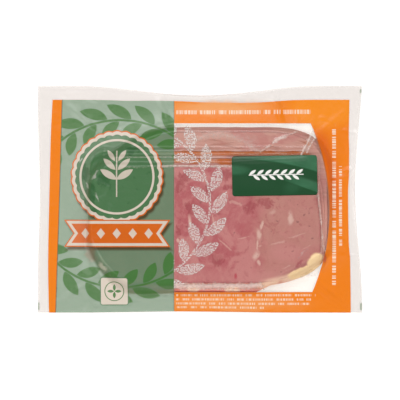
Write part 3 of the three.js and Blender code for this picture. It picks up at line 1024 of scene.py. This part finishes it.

# Where the stack's lower left-hand corner pushes the film up, lean shows through worn ink, and beside it a
# pale mark is a painted glint on the film.
WORN_INK_AND_GLINT = [
    # at, half sizes, turn, ink, strength
    ((-75.5, -38.5), (5.5, 7.5), 0.3, ((0.30, 0.155, 0.10), 0.9), 0.55),
    ((-67.0, -46.5), (2.4, 6.0), 0.7, ((0.78, 0.72, 0.58), 0.9), 0.6),
]
for at, half, turn, ink, strength in WORN_INK_AND_GLINT:
    corner_mark = ramp(blot(wavy, at, half, turn), 0.05, 0.7) * panel
    lay_ink(corner_mark * within(0.5 - ribbon), ink, strength)

# The small square: cream, with a thin green ring round a four-leaved figure.
SQUARE_AT, SQUARE_HALF, SQUARE_CORNER, SQUARE_RIM = (-59.4, -63.8), 10.0, 2.0, 0.7
SQUARE_RING_RADIUS, SQUARE_RING_HALF = 6.6, 0.3
PETAL_OUT, PETAL = 2.6, (2.3, 1.0)
square_x, square_y = measured_from(SQUARE_AT)
square = oblong(square_x, square_y, SQUARE_HALF, SQUARE_HALF, SQUARE_CORNER)
square_ring = within(abs(length_of(square_x, square_y) - SQUARE_RING_RADIUS) - SQUARE_RING_HALF)
petals = larger(within(leaf(abs(square_x) - PETAL_OUT, square_y, *PETAL)),
                within(leaf(abs(square_y) - PETAL_OUT, square_x, *PETAL)))
lay_ink(within(square), SEAL_GREEN_INK)
lay_ink(within(square + SQUARE_RIM), CREAM_INK)
lay_ink(larger(square_ring, petals), DEEP_GREEN_INK)

# Rows of small pale strokes on the orange frame.
STROKE_INK = ((0.95, 0.80, 0.64), 0.92)
STROKE_ROWS = [
    # runs up the film?, start, end, level, half height, strength
    (False, -16.5, 77.0, 60.7, 1.5, 0.75),
    (False, -16.5, 80.5, -66.6, 0.75, 0.65),
    (False, -16.5, 77.0, -69.6, 0.75, 0.65),
    (False, -16.5, 77.8, -72.6, 0.75, 0.65),
    (False, -16.5, 44.5, -75.4, 0.75, 0.65),
    (True, -59.5, 49.0, 93.0, 1.3, 0.85),
    (True, -33.0, 23.0, 97.6, 1.1, 0.85),
]


def noise_along(line):
    """Even noise along one line."""
    inputs = {"W": line, "Scale": 1, "Detail": 0}
    return Field(added(tree, "ShaderNodeTexNoise", inputs, noise_dimensions="1D").outputs["Fac"])


def stroke_row(along, across, start, end, level, half_height, seed):
    """Fine upright strokes in groups of uneven length, along one line."""
    grouped = ramp(noise_along(along * 0.29 + seed), 0.33, 0.36)
    barred = ramp(noise_along(along * 1.35 + seed * 3), 0.42, 0.52)
    in_line = within(abs(across - level) - half_height)
    in_length = within(abs(along - (start + end) / 2) - (end - start) / 2)
    return grouped * barred * in_line * in_length


for number, (upright, *row, strength) in enumerate(STROKE_ROWS):
    along, across = (flat_y, flat_x) if upright else (flat_x, flat_y)
    lay_ink(stroke_row(along, across, *row, 3.7 * number), STROKE_INK, strength)

# Small register marks where the web was cut.
REGISTER_MARKS = [((112.0, -74.5), (1.0, 2.4)), ((-112.0, -74.2), (0.6, 2.6)), ((112.0, 75.0), (0.8, 1.4))]
for at, half in REGISTER_MARKS:
    lay_ink(within(oblong(*measured_from(at), *half), 0.5), DEEP_GREEN_INK, 0.7)

# The raised folds are whitened, and more so where the film is broken up. The whitening is partly real and
# partly painted highlight and glare where folds and slopes catch the light; one low band is painted light
# over the shade between slices.
FOLD_RAGGED = 0.55
FOLD_WHITE_AND_HIGHLIGHT = ((0.90, 0.71, 0.65), 0.80)
broken = mottle(flat_mm, 1.1, detail=2, stretch=(1.5, 1, 1)) - 0.5
lay_ink(ramp(broken * FOLD_RAGGED + vertex_field(tree, "whitening_and_highlight"), 0.12, 0.85), FOLD_WHITE_AND_HIGHLIGHT)

put(ink_colour, print_body.inputs["Base Color"])
print_body.inputs["Roughness"].default_value = 0.32
print_body.inputs["Specular IOR Level"].default_value = 0.25
relief = dented(mottle(flat_mm, 5.0, detail=3, distortion=0.6), 0.35)
put(relief, print_body.inputs["Normal"])
printed_film = {"Fac": ink_cover, 1: glossy_film(tree, relief), 2: print_body.outputs[0]}
give_surface(tree, added(tree, "ShaderNodeMixShader", printed_film).outputs[0])

upper_web = sheet_piece("upper_web", mesh, UPPER_WEB_THICK, (inked, inner_clear))
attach(upper_web, "root")
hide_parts("pouch")

# ---- The product label ----------------------------------------------------------------------
# A glossy green sticker with a white sprig, pressed on over the film, so that it takes up the
# step of the slices' rims. It is a thin sheet with round corners and a pale cut edge.

LABEL_WIDTH, LABEL_HEIGHT, LABEL_CORNER = 58.8, 27.6, 1.8
LABEL_AT, LABEL_TURN = (51.5, 16.3), math.radians(1)
LABEL_THICK, LABEL_LIFT, LABEL_SLACK = 0.14, 0.28, 0.3
STIFF_RADIUS, STIFF_REACH = 30, 8

mesh, x, y = sheet_grid("label_face", LABEL_WIDTH, LABEL_HEIGHT, cell=0.7)
corner_x, corner_y = LABEL_WIDTH / 2 - LABEL_CORNER, LABEL_HEIGHT / 2 - LABEL_CORNER
past_x = np.maximum(np.abs(x) - corner_x, 0)
past_y = np.maximum(np.abs(y) - corner_y, 0)
pull = np.maximum(past_x, past_y) / np.maximum(np.hypot(past_x, past_y), 1e-9)
in_corner = (past_x > 0) & (past_y > 0)
x = np.where(in_corner, np.sign(x) * (corner_x + past_x * pull), x)
y = np.where(in_corner, np.sign(y) * (corner_y + past_y * pull), y)
turned_x = LABEL_AT[0] + x * math.cos(LABEL_TURN) - y * math.sin(LABEL_TURN)
turned_y = LABEL_AT[1] + x * math.sin(LABEL_TURN) + y * math.cos(LABEL_TURN)
height = np.zeros_like(x)
for shift_x in range(-STIFF_REACH, STIFF_REACH + 1):
    for shift_y in range(-STIFF_REACH, STIFF_REACH + 1):
        bent_down = (shift_x**2 + shift_y**2) / (2 * STIFF_RADIUS)
        there = stack_height(turned_x + shift_x, turned_y + shift_y, SLICES)
        height = np.maximum(height, there - bent_down)
height += UNDER_FILM + LABEL_LIFT
for vert, (x, y, z) in zip(mesh.verts, zip(turned_x, turned_y, height)):
    swell = 0.5 + noise.noise(Vector((x * 0.035 + y * 0.05, y * 0.07, 2.0)))
    vert.co = (x, y, z + LABEL_SLACK * swell)

LABEL_GREEN = (0.004, 0.058, 0.015)
LABEL_SHEEN = (0.040, 0.165, 0.078)
LABEL_WHITE = (0.86, 0.84, 0.80)
LABEL_SPRIG_AT, LABEL_LEAVES, LABEL_LEAF_PITCH = (1.0, 0.6), 7, 5.4
LABEL_LEAF, LABEL_LEAF_LEAN, LABEL_LEAF_OUT = (2.8, 1.0), 0.6, 1.9
LABEL_STALK_HALF = 0.3

label_face, tree, gloss_green = new_material("label_gloss_green")
flat_mm = flat_places(tree, "label_face", LABEL_WIDTH, LABEL_HEIGHT)
flat_x, flat_y, _ = split_up(flat_mm)
sprig_x, sprig_y = measured_from(LABEL_SPRIG_AT)
leaf_x = repeated(sprig_x, LABEL_LEAF_PITCH, reckoned("GREATER_THAN", sprig_y, 0) * 0.5)
leaf_places = leaned(leaf_x, abs(sprig_y) - LABEL_LEAF_OUT, LABEL_LEAF_LEAN)
sprig_half = LABEL_LEAF_PITCH * LABEL_LEAVES / 2
leaves = reckoned("LESS_THAN", abs(sprig_x - leaf_x), sprig_half) * within(leaf(*leaf_places, *LABEL_LEAF))
white_print = larger(leaves, within(oblong(sprig_x, sprig_y, sprig_half, LABEL_STALK_HALF)))

# Slack in the stiff label makes flat facets that face the light; their paler green is painted sheen.
above_fold = flat_y - ((flat_x * -0.0028 - 0.16) * flat_x + 9.0)
below_upper = flat_x * -0.325 + 4.4 - flat_y
above_lower = flat_y - (flat_x * -0.37 - 1.5)
upper_facet = ramp(above_fold, -0.3, 1.0) * ramp(flat_x, -34, 6)
right_facet = ramp(above_lower, -0.2, 0.9) * ramp(below_upper, -1.2, 1.6) * ramp(flat_x, 2, 16)
left_facet = ramp(blot(flat_mm, (-27, 4.2), (13, 4.4), -0.05), 0.0, 0.7)
lower_facet = ramp(blot(flat_mm, (12, -8.5), (9, 6), 0.4), 0.0, 0.8)
facets = larger(larger(upper_facet, right_facet * 0.75), larger(left_facet * 0.8, lower_facet * 0.25))
uneven = mottle(flat_mm, 9, detail=3, stretch=(1.6, 1, 1), turn=-0.25) * 1.2 + 0.15
green = blended(facets * uneven, LABEL_GREEN, LABEL_SHEEN)
put(blended(white_print, green, LABEL_WHITE), gloss_green.inputs["Base Color"])
put(dented(facets * 0.25, 0.5), gloss_green.inputs["Normal"])
gloss_green.inputs["Roughness"].default_value = 0.3
gloss_green.inputs["Specular IOR Level"].default_value = 0.45
label_edge, _, edge_paper = new_material("label_cut_edge")
edge_paper.inputs["Base Color"].default_value = (0.75, 0.72, 0.66, 1)
edge_paper.inputs["Roughness"].default_value = 0.6

sticker = sheet_piece("product_sticker", mesh, LABEL_THICK, (label_face, label_edge))
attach(sticker, "root")
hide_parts("product_label")
